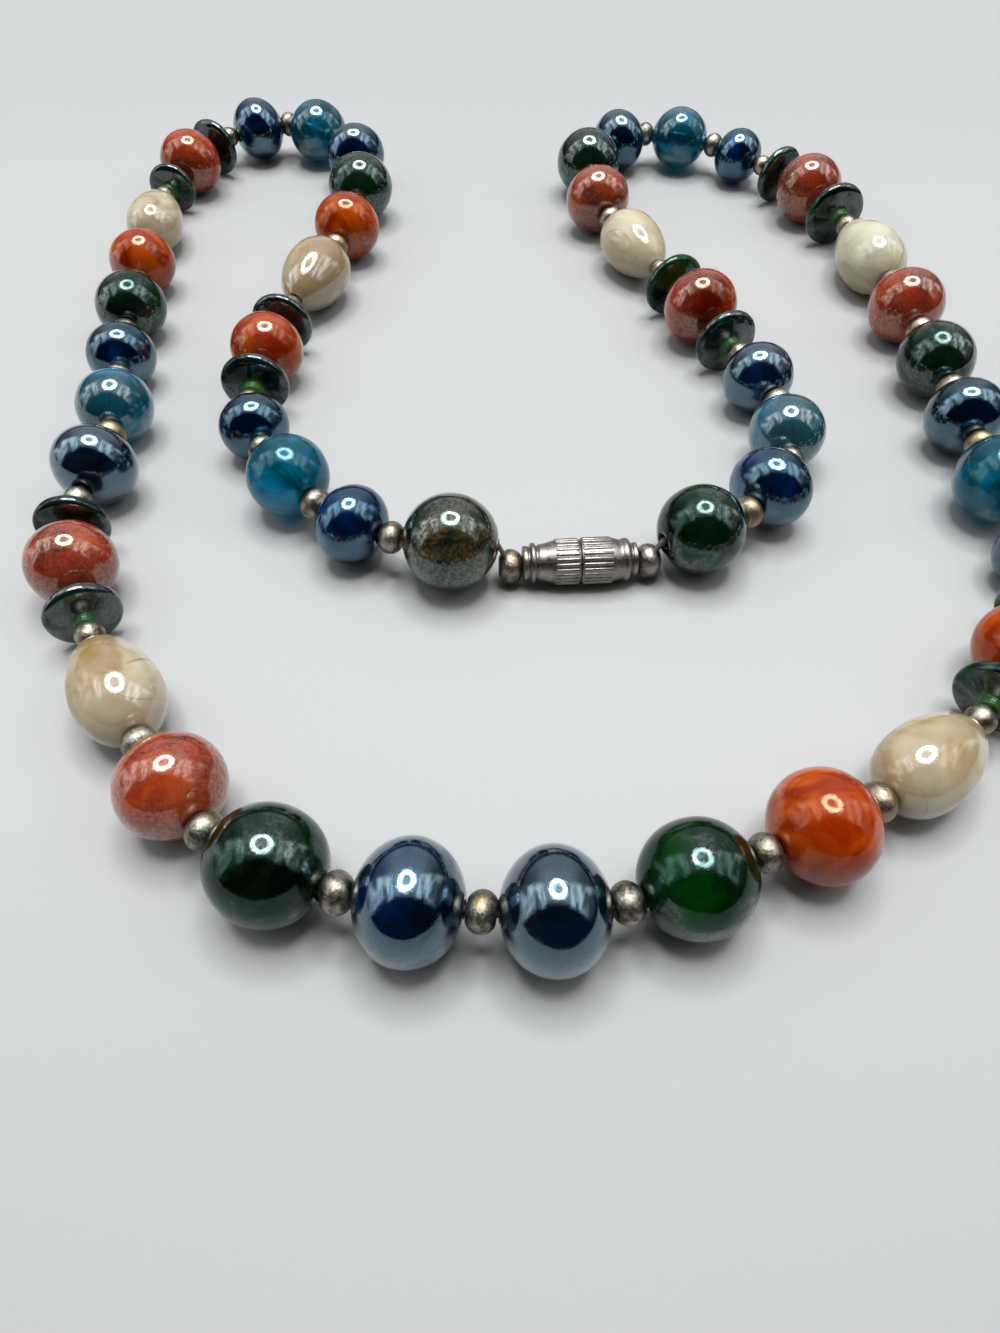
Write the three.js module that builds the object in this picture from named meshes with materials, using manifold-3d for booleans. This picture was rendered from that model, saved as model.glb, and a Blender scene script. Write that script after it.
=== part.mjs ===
import * as THREE from 'three';
import { mergeVertices } from 'three/addons/utils/BufferGeometryUtils.js';
import Module from 'manifold-3d';

// Beaded necklace: glass beads and small metal spacers on a thread, closed by a screw barrel clasp.
// It lies doubled on a table. Millimetres, +Z up, table at z = 0, front beads towards -Y.
// Left and right are as seen from the front.

const wasm = await Module();
wasm.setup();

// Glass beads: diameter across the hole, length along the hole from rim to rim
const greenDiameter = 11.2;
const greenLength = 11;
const blueDiameter = 10.3;
const blueLength = 8.8;
const tealDiameter = 10.4;
const tealLength = 10;
const orangeDiameter = 10.8;
const orangeLength = 9.7;
const creamDiameter = 9.9;
const creamLength = 14.4;
const creamLean = 0.16;
const discDiameter = 9.4;
const discLength = 5.1;
const beadBore = 2;

// Metal spacers and the thread
const spacerDiameter = 4;
const spacerLength = 2.3;
const spacerBand = 1;
const threadDiameter = 0.8;
const stringGap = 0.3;
const threadEndGap = 0.3;

// Screw barrel clasp, each half from the seam outwards
const claspBodyDiameter = 5.7;
const claspNeckDiameter = 4.4;
const claspRingDiameter = 4.9;
const claspCollarDiameter = 3.9;
const fluteLength = 3.2;
const shoulderLength = 2.1;
const ringLength = 0.9;
const collarLength = 0.7;
const fluteDepth = 0.25;
const seamGap = 0.1;
const screwDiameter = 3;
const screwLength = 2.4;
const screwClearance = 0.3;
const threadHoleDepth = 2.6;
const claspSpacerHeight = 2.4;
const claspHalfLength = fluteLength + shoulderLength + ringLength + collarLength;

// Flat sides round each shape, where the barrel has one rib to a side, and steps along the bead and route
const beadSides = 12;
const stringSides = 10;
const claspSides = 20;
const beadBands = 5;
const routeSamples = 3000;

// Glass colours, and the size of each glass
const glasses = {
  green: { diameter: greenDiameter, length: greenLength, lean: 0, colour: 0x1d4034 },
  blue: { diameter: blueDiameter, length: blueLength, lean: 0, colour: 0x14305e },
  teal: { diameter: tealDiameter, length: tealLength, lean: 0, colour: 0x10698a },
  orange: { diameter: orangeDiameter, length: orangeLength, lean: 0, colour: 0xb24a28 },
  cream: { diameter: creamDiameter, length: creamLength, lean: creamLean, colour: 0xcfc3a0 },
  disc: { diameter: discDiameter, length: discLength, lean: 0, colour: 0x1d4034 },
};

// One row for each place on the string, from the clasp to the front: the glass, and the size of the left
// and the right bead there as a share of that glass's usual size
const places = [
  { glass: 'green', left: 1.04, right: 0.98 },
  { glass: 'blue', left: 0.96, right: 1.03 },
  { glass: 'teal', left: 1.02, right: 0.98 },
  { glass: 'blue', left: 0.91, right: 0.99 },
  { glass: 'disc', left: 1.01, right: 1.02 },
  { glass: 'orange', left: 0.97, right: 1.04 },
  { glass: 'disc', left: 0.98, right: 1.03 },
  { glass: 'cream', left: 1.01, right: 0.97 },
  { glass: 'orange', left: 0.99, right: 1.01 },
  { glass: 'green', left: 0.98, right: 1.00 },
  { glass: 'blue', left: 1.01, right: 0.99 },
  { glass: 'teal', left: 1.01, right: 1.00 },
  { glass: 'blue', left: 1.01, right: 0.90 },
  { glass: 'disc', left: 1.01, right: 1.01 },
  { glass: 'orange', left: 0.99, right: 1.05 },
  { glass: 'disc', left: 0.88, right: 1.10 },
  { glass: 'cream', left: 0.91, right: 1.05 },
  { glass: 'orange', left: 0.93, right: 1.05 },
  { glass: 'green', left: 0.92, right: 0.97 },
  { glass: 'blue', left: 0.94, right: 1.05 },
  { glass: 'teal', left: 0.98, right: 1.09 },
  { glass: 'blue', left: 1.05, right: 0.86 },
  { glass: 'disc', left: 0.96, right: 0.99 },
  { glass: 'orange', left: 0.98, right: 1.01 },
  { glass: 'disc', left: 0.94, right: 0.99 },
  { glass: 'cream', left: 0.99, right: 0.98 },
  { glass: 'orange', left: 1.05, right: 1.08 },
  { glass: 'green', left: 1.06, right: 1.03 },
  { glass: 'blue', left: 1.17, right: 1.17 },
];

// Route of the string on the table, once round from the clasp: left side, front, right side
const route = [
  [9.5, 81.2], [-6.1, 80.6], [-18.5, 84.2], [-27.3, 93], [-33.4, 102.7], [-34.3, 111.7], [-32.9, 126.7],
  [-26.1, 152.8], [-25.1, 166.9], [-26.7, 178.3], [-32.3, 186.6], [-40.5, 190.2], [-48.4, 187.8],
  [-53.6, 181.4], [-56.3, 173.6], [-58.3, 166.5], [-58.2, 155], [-56.9, 142.5], [-54.3, 118.1],
  [-50.9, 99.4], [-51.8, 84.1], [-46.7, 70.2], [-31.5, 47.1], [-20.9, 37.8], [-7.5, 35.8], [5.5, 34.4],
  [18.5, 38.4], [43.3, 51.2], [57, 66.1], [63.5, 79.1], [62.6, 93.8], [61.5, 118.6], [58.5, 146.7],
  [52.4, 168.5], [43.3, 181.4], [32.1, 188.6], [20.4, 188.2], [13.5, 178.9], [14.8, 164.6], [20.9, 149.9],
  [29.7, 130.6], [35.8, 114], [38.5, 103], [33.9, 92], [24.7, 83.6],
];

// Disc outline from the rim in to the hub's end, as shares of its half sizes along and across the string
const discOutline = [
  { along: 0.22, across: 1 },
  { along: 0.48, across: 0.4 },
  { along: 1, across: 0.34 },
];

function closedMesh(geometry) {
  geometry.deleteAttribute('normal');
  geometry.deleteAttribute('uv');
  return mergeVertices(geometry);
}

function toSolid(geometry) {
  const merged = closedMesh(geometry);
  return new wasm.Manifold(new wasm.Mesh({
    numProp: 3,
    vertProperties: merged.attributes.position.array,
    triVerts: new Uint32Array(merged.index.array),
  }));
}

function toGeometry(solid) {
  const mesh = solid.getMesh();
  const geometry = new THREE.BufferGeometry();
  geometry.setAttribute('position', new THREE.BufferAttribute(mesh.vertProperties.slice(), 3));
  geometry.setIndex(new THREE.BufferAttribute(mesh.triVerts.slice(), 1));
  return geometry;
}

// Turned solid about the local Y axis whose flat sides lie tangent to the true circle, one of them down
function turned(outline, sides) {
  const outOfRound = 1 / Math.cos(Math.PI / sides);
  const points = outline.map(([across, along]) => new THREE.Vector2(across * outOfRound, along));
  return new THREE.LatheGeometry(points, sides, Math.PI / sides, 2 * Math.PI);
}

// Drilled bead: an oval outline that can lean towards its +Y end, closed along the bore
function beadGeometry(item) {
  const bore = beadBore / 2;
  const radius = item.diameter / 2;
  const rimAngle = Math.asin(bore / radius);
  const angles = [];
  for (let band = 0; band <= beadBands; band += 1) {
    angles.push(rimAngle + (band / beadBands) * (Math.PI - 2 * rimAngle));
  }
  const widths = angles.map((angle) => Math.sin(angle) * (1 - item.lean * Math.cos(angle)));
  const widest = Math.max(...widths);
  const halfLength = item.length / 2;
  const outline = angles.map((angle, index) => {
    const atRim = index === 0 || index === beadBands;
    const across = atRim ? bore : (radius * widths[index]) / widest;
    return [across, (-halfLength * Math.cos(angle)) / Math.cos(rimAngle)];
  });
  outline.push(outline[0]);
  return closedMesh(turned(outline, beadSides));
}

// Everything in order round the string, from the clasp along the left side to the front and back on the
// right. A disc lies straight against an orange bead, and a spacer sits between any other two.
function stringItems() {
  const side = (name) => places.map((place, index) => {
    const glass = glasses[place.glass];
    return {
      kind: place.glass,
      side: name,
      number: index + 1,
      lean: name === 'left' ? glass.lean : -glass.lean,
      diameter: glass.diameter * place[name],
      length: glass.length * place[name],
    };
  });
  const clasp = { kind: 'clasp', diameter: claspBodyDiameter, length: 2 * claspHalfLength };
  const spacer = { kind: 'spacer', diameter: spacerDiameter, length: spacerLength };
  const main = [clasp, ...side('left'), ...side('right').reverse()];
  return main.flatMap((item, index) => {
    const pair = [item.kind, main[(index + 1) % main.length].kind];
    const straight = pair.includes('disc') && pair.includes('orange');
    return straight ? [item] : [item, { ...spacer, besideClasp: pair.includes('clasp') }];
  });
}

// The next place on a path that lies one reach from the place at the given step
function nextStop(path, from, reach) {
  const origin = path(from);
  let high = Math.floor(from) + 1;
  while (high < from + routeSamples && path(high).distanceTo(origin) < reach) high += 1;
  let low = Math.max(from, high - 1);
  for (let turn = 0; turn < 40; turn += 1) {
    const middle = (low + high) / 2;
    if (path(middle).distanceTo(origin) < reach) low = middle;
    else high = middle;
  }
  return high;
}

// Stops once round a path, one for each end of an item with half a gap beyond it
function walk(path, items) {
  const first = nextStop(path, 0, (items[0].length + stringGap) / 2);
  const stops = [-first, first];
  items.slice(1).forEach((item, index) => {
    stops.push(nextStop(path, stops[index + 1], item.length + stringGap));
  });
  return stops;
}

// Ends of the items on the route, which is scaled until the string just closes on it
function layOut(items) {
  const points = route.map(([x, y]) => new THREE.Vector3(x, y, 0));
  const curve = new THREE.CatmullRomCurve3(points, true, 'centripetal');
  const samples = curve.getSpacedPoints(routeSamples);
  const pathAt = (scale) => (step) => {
    const index = Math.floor(step);
    const start = samples[(index + routeSamples) % routeSamples];
    const end = samples[(index + 1 + routeSamples) % routeSamples];
    return new THREE.Vector2(start.x, start.y).lerp(new THREE.Vector2(end.x, end.y), step - index)
      .multiplyScalar(scale);
  };
  const guess = items.reduce((sum, item) => sum + item.length + stringGap, 0) / curve.getLength();
  let small = guess * 0.9;
  let large = guess * 1.2;
  for (let turn = 0; turn < 40; turn += 1) {
    const scale = (small + large) / 2;
    const stops = walk(pathAt(scale), items);
    if (stops[items.length] > routeSamples + stops[0]) small = scale;
    else large = scale;
  }
  const path = pathAt(large);
  return walk(path, items).map(path);
}

// Gives each item its centre, its direction along the string and the two ends of its bore
function placeItems() {
  const items = stringItems();
  const ends = layOut(items);
  const placed = items.map((item, index) => {
    const along = ends[index + 1].clone().sub(ends[index]).normalize();
    const middle = ends[index + 1].clone().add(ends[index]).divideScalar(2);
    const direction = new THREE.Vector3(along.x, along.y, 0);
    return { ...item, direction, centre: new THREE.Vector3(middle.x, middle.y, item.diameter / 2) };
  });
  placed.forEach((item, index) => {
    if (item.kind !== 'spacer') return;
    const next = placed[(index + 1) % placed.length];
    const hung = (placed[index - 1].centre.z + next.centre.z) / 2;
    item.centre.z = item.besideClasp ? claspSpacerHeight : hung;
  });
  placed.forEach((item) => {
    item.entry = item.centre.clone().addScaledVector(item.direction, -item.length / 2);
    item.exit = item.centre.clone().addScaledVector(item.direction, item.length / 2);
  });
  return placed;
}

function turnTowards(direction) {
  return Math.atan2(direction.y, direction.x) - Math.PI / 2;
}

// Rings of a string in order along it: the middle of each, the way it faces and its half diameter
function stringRings(chain, start, end) {
  const thread = threadDiameter / 2;
  const first = chain[0].direction;
  const last = chain[chain.length - 1].direction;
  const rings = [
    { middle: start, direction: first, radius: 0 },
    { middle: start, direction: first, radius: thread },
  ];
  chain.forEach((item, index) => {
    const { kind, centre, direction, length, diameter } = item;
    const add = (along, radius) => {
      rings.push({ middle: centre.clone().addScaledVector(direction, along), direction, radius });
    };
    if (kind === 'spacer') {
      add(-spacerBand / 2, diameter / 2);
      add(spacerBand / 2, diameter / 2);
      return;
    }
    if (index > 0) add(-length / 2, thread);
    if (kind === 'disc') {
      const half = discOutline.map(({ along, across }) => [(along * length) / 2, (across * diameter) / 2]);
      [...half].reverse().forEach(([along, radius]) => add(-along, radius));
      half.forEach(([along, radius]) => add(along, radius));
    }
    if (index < chain.length - 1) add(length / 2, thread);
  });
  rings.push({ middle: end, direction: last, radius: thread }, { middle: end, direction: last, radius: 0 });
  return rings;
}

// Thread, spacers and discs of one half as one body: turned straight, a unit of Y to each ring, then each
// ring is laid in its place
function stringMesh(name, chain, start, end) {
  const rings = stringRings(chain, start, end);
  const geometry = turned(rings.map(({ radius }, index) => [radius, index]), stringSides);
  const up = new THREE.Vector3(0, 0, 1);
  const { position } = geometry.attributes;
  for (let index = 0; index < position.count; index += 1) {
    const { middle, direction } = rings[Math.round(position.getY(index))];
    const sideways = direction.clone().cross(up).multiplyScalar(position.getX(index));
    const place = middle.clone().add(sideways).addScaledVector(up, position.getZ(index));
    position.setXYZ(index, place.x, place.y, place.z);
  }
  const metal = new THREE.MeshStandardMaterial({ color: 0xb9b2a4, roughness: 0.3, metalness: 0.9 });
  const mesh = new THREE.Mesh(closedMesh(geometry), metal);
  mesh.name = name;
  return mesh;
}

function beadMesh(item) {
  const { colour } = glasses[item.kind];
  const material = new THREE.MeshStandardMaterial({ color: colour, roughness: 0.12, metalness: 0.15 });
  const mesh = new THREE.Mesh(beadGeometry(item), material);
  mesh.name = `${item.kind}_bead_${item.side}_${String(item.number).padStart(2, '0')}`;
  mesh.position.copy(item.centre);
  mesh.rotation.z = turnTowards(item.direction);
  return mesh;
}

// Outside of one clasp half, lying from its seam near y = 0 to its collar at +Y
function claspShell() {
  const neck = claspNeckDiameter / 2;
  const ring = claspRingDiameter / 2;
  const collar = claspCollarDiameter / 2;
  const core = claspBodyDiameter / 2 - fluteDepth;
  const seam = seamGap / 2;
  const shoulder = fluteLength + shoulderLength;
  const ringEnd = shoulder + ringLength;
  const shell = turned([
    [0, seam], [neck, seam], [neck, fluteLength / 2], [core, fluteLength], [neck, shoulder],
    [ring, shoulder + ringLength / 4], [ring, ringEnd - ringLength / 4], [collar, ringEnd],
    [collar, claspHalfLength], [0, claspHalfLength],
  ], claspSides);
  return toSolid(shell).add(toSolid(flutedBand(core, seam)));
}

// Straight ribs round the middle of the barrel, whose valleys meet the core's corners
function flutedBand(core, seam) {
  const ridge = claspBodyDiameter / 2;
  const valley = core / Math.cos(Math.PI / claspSides);
  const star = new THREE.Shape();
  for (let point = 0; point < 2 * claspSides; point += 1) {
    const angle = (Math.PI * point) / claspSides;
    const radius = point % 2 === 0 ? ridge : valley;
    if (point === 0) star.moveTo(radius, 0);
    else star.lineTo(radius * Math.cos(angle), radius * Math.sin(angle));
  }
  const band = new THREE.ExtrudeGeometry(star, { depth: fluteLength - seam, bevelEnabled: false });
  return band.rotateX(-Math.PI / 2).translate(0, seam, 0);
}

function rod(diameter, low, high) {
  return toSolid(turned([[0, low], [diameter / 2, low], [diameter / 2, high], [0, high]], beadSides));
}

// The left half holds the socket and the right half the screw. Both have a hole for the thread's end.
function claspMeshes(item) {
  const screwHole = screwDiameter + 2 * screwClearance;
  const socketDepth = screwLength + screwClearance;
  const hole = rod(beadBore, claspHalfLength - threadHoleDepth, claspHalfLength + 1);
  const socket = rod(screwHole, -1, socketDepth);
  const screw = rod(screwDiameter, -screwLength, seamGap);
  const halves = {
    clasp_left: { solid: claspShell().subtract(hole).subtract(socket), towards: item.direction.clone() },
    clasp_right: {
      solid: claspShell().subtract(hole).add(screw),
      towards: item.direction.clone().negate(),
    },
  };
  return Object.entries(halves).map(([name, { solid, towards }]) => {
    const metal = new THREE.MeshStandardMaterial({ color: 0x9a938a, roughness: 0.35, metalness: 0.9 });
    const mesh = new THREE.Mesh(toGeometry(solid), metal);
    mesh.name = name;
    mesh.position.copy(item.centre);
    mesh.rotation.z = turnTowards(towards);
    return mesh;
  });
}

function buildNecklace() {
  const placed = placeItems();
  const clasp = placed[0];
  const frontRight = placed.findIndex((item) => item.side === 'right');
  const inClasp = clasp.direction.clone().multiplyScalar(threadHoleDepth - threadEndGap);
  const inBore = placed[frontRight].direction.clone().multiplyScalar(threadEndGap);
  const leftStart = clasp.exit.clone().sub(inClasp);
  const leftEnd = placed[frontRight].entry.clone().add(inBore);
  const rightStart = leftEnd.clone().add(inBore);
  const rightEnd = clasp.entry.clone().add(inClasp);
  const leftChain = placed.slice(0, frontRight + 1);
  const rightChain = [...placed.slice(frontRight), clasp];
  const glassBeads = placed.filter(({ kind }) => kind in glasses && kind !== 'disc');

  const necklace = new THREE.Group();
  const lying = new THREE.Group();
  necklace.add(lying);
  lying.add(...claspMeshes(clasp));
  lying.add(...glassBeads.map(beadMesh));
  lying.add(stringMesh('string_left', leftChain, leftStart, leftEnd));
  lying.add(stringMesh('string_right', rightChain, rightStart, rightEnd));

  const box = new THREE.Box3().setFromObject(necklace, true);
  const middle = box.getCenter(new THREE.Vector3());
  lying.position.set(-middle.x, -middle.y, -box.min.z);
  return necklace;
}

export default buildNecklace();
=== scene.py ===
import math

import bmesh
import bpy
from mathutils import Matrix, Vector, noise


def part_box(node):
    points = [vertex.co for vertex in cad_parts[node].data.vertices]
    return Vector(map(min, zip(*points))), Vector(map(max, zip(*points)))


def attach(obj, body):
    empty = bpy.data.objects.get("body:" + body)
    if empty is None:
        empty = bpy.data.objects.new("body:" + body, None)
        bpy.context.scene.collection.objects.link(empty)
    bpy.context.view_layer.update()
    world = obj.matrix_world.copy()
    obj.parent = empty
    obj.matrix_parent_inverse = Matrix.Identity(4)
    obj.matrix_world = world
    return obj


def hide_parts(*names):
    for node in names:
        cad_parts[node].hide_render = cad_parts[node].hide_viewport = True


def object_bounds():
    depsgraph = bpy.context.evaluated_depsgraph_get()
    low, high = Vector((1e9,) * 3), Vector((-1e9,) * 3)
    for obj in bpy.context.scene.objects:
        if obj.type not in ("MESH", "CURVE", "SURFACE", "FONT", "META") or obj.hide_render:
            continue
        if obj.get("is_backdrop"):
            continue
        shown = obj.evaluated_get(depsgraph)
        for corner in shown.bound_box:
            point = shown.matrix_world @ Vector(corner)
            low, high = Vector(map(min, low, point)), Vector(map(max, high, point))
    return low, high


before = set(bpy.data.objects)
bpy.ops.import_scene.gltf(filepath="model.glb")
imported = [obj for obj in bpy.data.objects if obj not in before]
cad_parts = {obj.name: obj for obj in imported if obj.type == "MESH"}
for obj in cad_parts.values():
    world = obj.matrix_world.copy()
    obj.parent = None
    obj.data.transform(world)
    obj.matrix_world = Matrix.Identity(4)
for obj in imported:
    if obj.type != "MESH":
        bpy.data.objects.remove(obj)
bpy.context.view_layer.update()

# Beaded necklace, lying doubled on a table. Sizes in the tables are mm, everything in the scene is metres.
mm = 0.001
up = Vector((0, 0, 1))
scene = bpy.context.scene
print("frame loaded:", len(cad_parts), "solids")


# The string: what hangs on it, in order, and where each piece lies

glasses = {
    "green": {"diameter": 11.2, "length": 11.0, "lean": 0.0},
    "blue": {"diameter": 10.3, "length": 8.8, "lean": 0.0},
    "teal": {"diameter": 10.4, "length": 10.0, "lean": 0.0},
    "orange": {"diameter": 10.8, "length": 9.7, "lean": 0.0},
    "cream": {"diameter": 9.9, "length": 14.4, "lean": 0.16},
    "disc": {"diameter": 9.4, "length": 5.1, "lean": 0.0},
}

# from the clasp to the front: glass, then for the left and the right bead its size as a share of the usual
# one, how much lustre it took in the kiln and how light its glass is (both 0 to 1)
places = [
    ("green", (1.04, 0.80, 0.30), (0.98, 0.50, 0.30)),
    ("blue", (0.96, 0.15, 0.48), (1.03, 0.45, 0.45)),
    ("teal", (1.02, 0.15, 0.85), (0.98, 0.80, 0.50)),
    ("blue", (0.91, 0.15, 0.55), (0.99, 0.75, 0.30)),
    ("disc", (1.01, 0.45, 0.50), (1.02, 0.55, 0.40)),
    ("orange", (0.97, 0.45, 0.60), (1.04, 0.55, 0.50)),
    ("disc", (0.98, 0.60, 0.20), (1.03, 0.50, 0.50)),
    ("cream", (1.01, 0.70, 0.20), (0.97, 0.40, 0.95)),
    ("orange", (0.99, 0.20, 0.85), (1.01, 0.85, 0.35)),
    ("green", (0.98, 0.66, 0.40), (1.00, 0.62, 0.42)),
    ("blue", (1.01, 0.50, 0.40), (0.99, 0.50, 0.40)),
    ("teal", (1.01, 0.50, 0.50), (1.00, 0.50, 0.50)),
    ("blue", (1.01, 0.50, 0.40), (0.90, 0.40, 0.60)),
    ("disc", (1.01, 0.50, 0.40), (1.01, 0.50, 0.40)),
    ("orange", (0.99, 0.50, 0.50), (1.05, 0.85, 0.30)),
    ("disc", (0.88, 0.60, 0.40), (1.10, 0.55, 0.50)),
    ("cream", (0.91, 0.50, 0.60), (1.05, 0.35, 0.90)),
    ("orange", (0.93, 0.30, 0.75), (1.05, 0.85, 0.35)),
    ("green", (0.92, 0.50, 0.40), (0.97, 0.66, 0.50)),
    ("blue", (0.94, 0.45, 0.45), (1.05, 0.50, 0.35)),
    ("teal", (0.98, 0.60, 0.60), (1.09, 0.30, 0.55)),
    ("blue", (1.05, 1.00, 0.30), (0.86, 0.40, 0.45)),
    ("disc", (0.96, 0.55, 0.40), (0.99, 0.50, 0.50)),
    ("orange", (0.98, 0.80, 0.50), (1.01, 0.30, 0.75)),
    ("disc", (0.94, 0.85, 0.40), (0.99, 0.50, 0.50)),
    ("cream", (0.99, 0.50, 0.45), (0.98, 0.60, 0.52)),
    ("orange", (1.05, 0.85, 0.45), (1.08, 0.35, 0.80)),
    ("green", (1.06, 0.45, 0.25), (1.03, 0.30, 0.60)),
    ("blue", (1.17, 0.60, 0.25), (1.17, 1.00, 0.10)),
]

string = {
    "gap": 0.3,  # play between two neighbours
    "spacerLength": 2.3,
    "spacerDiameter": 4.0,
    "claspLength": 13.8,
    "claspDiameter": 5.7,
    "claspSpacerHeight": 2.4,
    "threadDiameter": 0.8,
    # once round from the clasp, in mm: left side, front, right side
    "route": [
        (9.5, 81.2), (-6.1, 80.6), (-18.5, 84.2), (-27.3, 93), (-33.4, 102.7), (-34.3, 111.7), (-32.9, 126.7),
        (-26.1, 152.8), (-25.1, 166.9), (-26.7, 178.3), (-32.3, 186.6), (-40.5, 190.2), (-48.4, 187.8),
        (-53.6, 181.4), (-56.3, 173.6), (-58.3, 166.5), (-58.2, 155), (-56.9, 142.5), (-54.3, 118.1),
        (-50.9, 99.4), (-51.8, 84.1), (-46.7, 70.2), (-31.5, 47.1), (-20.9, 37.8), (-7.5, 35.8), (5.5, 34.4),
        (18.5, 38.4), (43.3, 51.2), (57, 66.1), (63.5, 79.1), (62.6, 93.8), (61.5, 118.6), (58.5, 146.7),
        (52.4, 168.5), (43.3, 181.4), (32.1, 188.6), (20.4, 188.2), (13.5, 178.9), (14.8, 164.6),
        (20.9, 149.9), (29.7, 130.6), (35.8, 114), (38.5, 103), (33.9, 92), (24.7, 83.6),
    ],
    "routeSteps": 60,  # between two route points
    "scaleRange": (0.9, 1.2),  # how much smaller or larger than its own length the route may be drawn
    "halvings": 30,  # of a search range, until the string closes
}


# a smooth closed curve through the route, as complex numbers
def smoothLoop(points, steps):
    count = len(points)
    loop = []
    for index in range(count):
        before, start, end, after = (complex(*points[(index + k) % count]) for k in (-1, 0, 1, 2))
        reach = [max(abs(b - a) ** 0.5, 1e-4) for a, b in ((before, start), (start, end), (end, after))]
        middle = (end - start) / reach[1]
        leave = ((start - before) / reach[0] - (end - before) / (reach[0] + reach[1]) + middle) * reach[1]
        arrive = (middle - (after - start) / (reach[1] + reach[2]) + (after - end) / reach[2]) * reach[1]
        for step in range(steps):
            t = step / steps
            bend = -3 * start + 3 * end - 2 * leave - arrive
            twist = 2 * start - 2 * end + leave + arrive
            loop.append(start + leave * t + bend * t * t + twist * t ** 3)
    return loop


# first place on the scaled loop that lies one reach from the spot
def nextStop(loop, scale, place, spot, reach):
    index = int(place) + 1
    while index < place + len(loop) and abs(loop[index % len(loop)] * scale - spot) < reach:
        index += 1
    low, high = max(place, index - 1), index
    start = loop[(index - 1) % len(loop)] * scale
    end = loop[index % len(loop)] * scale
    for _ in range(string["halvings"]):
        middle = (low + high) / 2
        here = start + (end - start) * (middle - index + 1)
        if abs(here - spot) < reach:
            low = middle
        else:
            high = middle
    return high, start + (end - start) * (high - index + 1)


# every piece with its centre and direction, all in mm, on the route, which is scaled until the string closes
def layString():
    sides = []
    for column, side, lean in ((1, "left", 1), (2, "right", -1)):
        pieces = []
        for number, place in enumerate(places, 1):
            glass = glasses[place[0]]
            share, lustre, tone = place[column]
            pieces.append({
                "kind": place[0], "side": side, "number": number, "lean": lean * glass["lean"],
                "diameter": glass["diameter"] * share, "length": glass["length"] * share,
                "lustre": lustre, "tone": tone,
            })
        sides.append(pieces)
    clasp = {"kind": "clasp", "side": ""}
    clasp.update(diameter=string["claspDiameter"], length=string["claspLength"])
    main = [clasp] + sides[0] + sides[1][::-1]
    items = []
    for index, item in enumerate(main):
        items.append(item)
        pair = {item["kind"], main[(index + 1) % len(main)]["kind"]}
        if pair != {"disc", "orange"}:
            items.append({
                "kind": "spacer", "side": "left" if index <= len(places) else "right",
                "besideClasp": "clasp" in pair, "besideDisc": "disc" in pair,
                "diameter": string["spacerDiameter"], "length": string["spacerLength"],
            })

    loop = smoothLoop(string["route"], string["routeSteps"])
    links = [item["length"] + string["gap"] for item in items]
    around = sum(abs(loop[k] - loop[k - 1]) for k in range(len(loop)))
    low, high = (share * sum(links) / around for share in string["scaleRange"])

    def walk(scale):
        place, spot = nextStop(loop, scale, 0.0, loop[0] * scale, links[0] / 2)
        first, spots = place, [spot]
        for link in links[1:]:
            place, spot = nextStop(loop, scale, place, spot, link)
            spots.append(spot)
        return place - (len(loop) - first), spots

    for _ in range(string["halvings"]):
        scale = (low + high) / 2
        if walk(scale)[0] > 0:
            low = scale
        else:
            high = scale
    spots = walk(high)[1]
    spots.insert(0, spots[-1])
    for index, item in enumerate(items):
        along = spots[index + 1] - spots[index]
        middle = (spots[index + 1] + spots[index]) / 2
        item["direction"] = Vector((along.real, along.imag, 0)).normalized()
        item["centre"] = Vector((middle.real, middle.imag, item["diameter"] / 2))
    for index, item in enumerate(items):
        if item["kind"] == "spacer":
            after = items[(index + 1) % len(items)]
            hung = (items[index - 1]["centre"].z + after["centre"].z) / 2
            item["centre"].z = string["claspSpacerHeight"] if item["besideClasp"] else hung
    return items


def nodeOf(item):
    return "%s_bead_%s_%02d" % (item["kind"], item["side"], item["number"])


items = layString()
firstBead = items[2]
low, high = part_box(nodeOf(firstBead))
shift = (low + high) / 2 / mm - firstBead["centre"]
shift.z = 0
off = 0
seedStep = Vector((17.3, 5.1, 9.7))  # a place of its own in the noise for each piece
for item in items:
    item["centre"] += shift
    item["seed"] = seedStep * (items.index(item) + 1)
    if item["kind"] in glasses and item["kind"] != "disc":
        low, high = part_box(nodeOf(item))
        off = max(off, ((low + high) / 2 / mm - item["centre"]).to_2d().length)
print("string laid: %d pieces, at most %.3f mm from their solids" % (len(items), off))


# Helpers for meshes

def newObject(name, mesh):
    made = bpy.data.objects.new(name, mesh)
    scene.collection.objects.link(made)
    return made


dentScale = 1.3  # dents over a bead, about this many from its middle to its rim


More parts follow.
